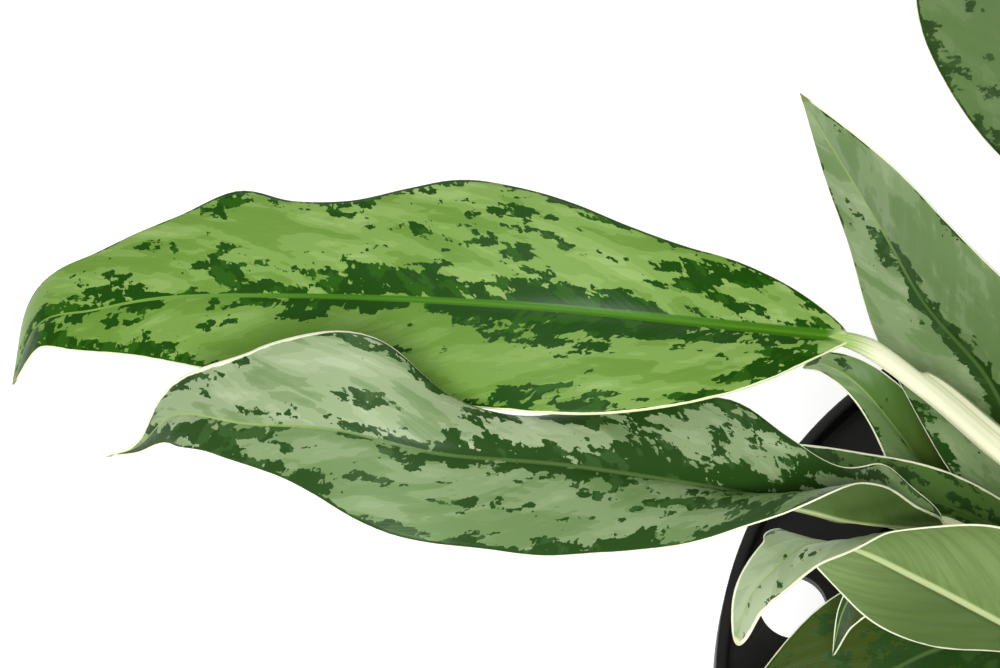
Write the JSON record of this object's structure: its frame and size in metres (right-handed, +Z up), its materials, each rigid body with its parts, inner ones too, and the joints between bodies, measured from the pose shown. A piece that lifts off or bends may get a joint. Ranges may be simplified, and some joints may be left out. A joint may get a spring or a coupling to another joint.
{
  "type": "potted chinese evergreen",
  "caption": "Potted Chinese evergreen: long silver-green leaves flecked with dark green, on pale petioles and short canes in a black nursery pot with a lipped ledge.",
  "frame": {"origin": "middle of the pot's flat underside, on the surface it stands on", "axes": "+Z up; -Y towards the front of the plant; -X towards the longest leaf"},
  "size_m": [0.5385, 0.4436, 0.4185],
  "materials": {
    "pot_black": "satin",
    "soil_brown": "matte",
    "cane_green": "satin",
    "new_leaf_green": "satin",
    "leaf_green": "satin",
    "leaf_silver": "satin"
  },
  "bodies": {
    "root": {"pot": "pot_black", "soil": "soil_brown", "cane_tall": "cane_green", "new_leaf_tall": "new_leaf_green", "cane_front": "cane_green", "new_leaf_front": "new_leaf_green", "cane_back": "cane_green", "new_leaf_back": "new_leaf_green", "leaf_long_left": "leaf_green", "leaf_left_drooping": "leaf_silver", "leaf_back_left_upright": "leaf_silver", "leaf_back_tall": "leaf_silver", "leaf_left_low": "leaf_silver", "leaf_left_inner": "leaf_silver", "leaf_curled": "leaf_silver", "leaf_small_hanging": "leaf_silver", "leaf_front_left_low": "leaf_silver", "leaf_right_wide": "leaf_silver", "leaf_right_middle": "leaf_silver", "leaf_right_upright": "leaf_silver", "leaf_back_right": "leaf_silver", "leaf_back_upright": "leaf_silver", "leaf_front_right": "leaf_silver", "leaf_front_drooping": "leaf_silver", "leaf_front_middle": "leaf_silver", "leaf_front_low": "leaf_silver", "leaf_front_right_low": "leaf_silver", "leaf_back_low": "leaf_silver", "leaf_back_middle": "leaf_silver", "leaf_right_low": "leaf_silver"}
  },
  "joints": []
}
